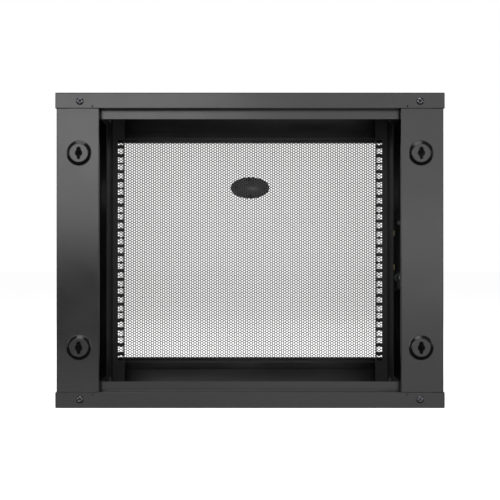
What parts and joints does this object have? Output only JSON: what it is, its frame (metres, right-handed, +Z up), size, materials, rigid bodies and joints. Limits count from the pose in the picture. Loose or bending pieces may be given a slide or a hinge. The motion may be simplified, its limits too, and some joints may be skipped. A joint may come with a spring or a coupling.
{
  "type": "network rack cabinet",
  "caption": "Wall-mount network rack cabinet, open at the back, with two mounting rails, perforated front door and removable side panels.",
  "frame": {"origin": "floor level, under the middle of the carcass's footprint", "axes": "+X right seen from the front, door faces -Y, wall side +Y, +Z up"},
  "size_m": [0.6, 0.418, 0.486],
  "materials": {
    "carcass": "fine-textured dark charcoal powder coat",
    "rails": "dark charcoal powder coat",
    "door": "fine-textured dark charcoal powder coat",
    "mesh": "powder-coated perforated steel",
    "panels": "fine-textured dark charcoal powder coat",
    "bright_zinc": "bright zinc plate",
    "yellow_zinc": "yellow passivated zinc",
    "lock_black": "moulded black",
    "badge": "moulded, blank",
    "chrome": "chromed die casting",
    "black_zinc": "dark zinc plate",
    "buffer_rubber": "matt"
  },
  "bodies": {
    "carcass": {"bottom_panel": "carcass", "cable_cover_bottom": "carcass", "cable_cover_screws": "bright_zinc", "cable_cover_top": "carcass", "depth_bar_bottom_left": "carcass", "depth_bar_bottom_right": "carcass", "depth_bar_top_left": "carcass", "depth_bar_top_right": "carcass", "door_buffers": "buffer_rubber", "earth_nut": "bright_zinc", "earth_stud": "bright_zinc", "earth_washer": "bright_zinc", "front_post_left": "carcass", "front_post_right": "carcass", "hinge_bracket_bottom": "door", "hinge_bracket_top": "door", "hinge_pin_bottom": "bright_zinc", "hinge_pin_top": "bright_zinc", "hinge_screws": "bright_zinc", "mounting_rail_left": "rails", "mounting_rail_right": "rails", "rail_nuts": "bright_zinc", "rail_screws": "bright_zinc", "rear_flange_nuts": "bright_zinc", "rear_flange_screws": "black_zinc", "rear_post_left": "carcass", "rear_post_right": "carcass", "top_panel": "carcass"},
    "door": {"door_frame": "door", "door_mesh": "mesh", "mesh_retainer": "door", "door_hinge_tab_top": "door", "door_hinge_tab_bottom": "door", "badge_plate": "badge", "badge_fixings": "lock_black", "lock_plate": "lock_black", "lock_housing": "lock_black", "lock_clips": "yellow_zinc", "lock_fixing_screw": "bright_zinc", "lock_barrel": "chrome"},
    "door_latch": {"key_plug": "chrome", "lock_cam": "black_zinc", "cam_screw": "bright_zinc"},
    "side_panel_left_body": {"side_panel_left": "panels", "side_lock_barrel_left": "chrome"},
    "side_latch_left": {"side_key_plug_left": "chrome", "side_cam_left": "black_zinc", "side_cam_screw_left": "bright_zinc"},
    "side_panel_right_body": {"side_panel_right": "panels", "side_lock_barrel_right": "chrome"},
    "side_latch_right": {"side_key_plug_right": "chrome", "side_cam_right": "black_zinc", "side_cam_screw_right": "bright_zinc"}
  },
  "joints": [
    {"name": "door_swing", "type": "hinge", "parent": "carcass", "child": "door", "pos_m": [0.2905, -0.188, 0.243], "axis": [0, 0, 1], "range_deg": [0, 110]},
    {"name": "door_lock_turn", "type": "hinge", "parent": "door", "child": "door_latch", "pos_m": [-0.275, -0.188, 0.192], "axis": [0, 1, 0], "range_deg": [0, 90]},
    {"name": "side_panel_left_tilt", "type": "hinge", "parent": "carcass", "child": "side_panel_left_body", "pos_m": [-0.2983, 0, 0.0257], "axis": [0, -1, 0], "range_deg": [0, 20]},
    {"name": "side_lock_left_turn", "type": "hinge", "parent": "side_panel_left_body", "child": "side_latch_left", "pos_m": [-0.29, 0.0125, 0.4393], "axis": [1, 0, 0], "range_deg": [0, 90]},
    {"name": "side_panel_right_tilt", "type": "hinge", "parent": "carcass", "child": "side_panel_right_body", "pos_m": [0.2983, 0, 0.0257], "axis": [0, 1, 0], "range_deg": [0, 20]},
    {"name": "side_lock_right_turn", "type": "hinge", "parent": "side_panel_right_body", "child": "side_latch_right", "pos_m": [0.29, 0.0125, 0.4393], "axis": [1, 0, 0], "range_deg": [0, 90]}
  ]
}
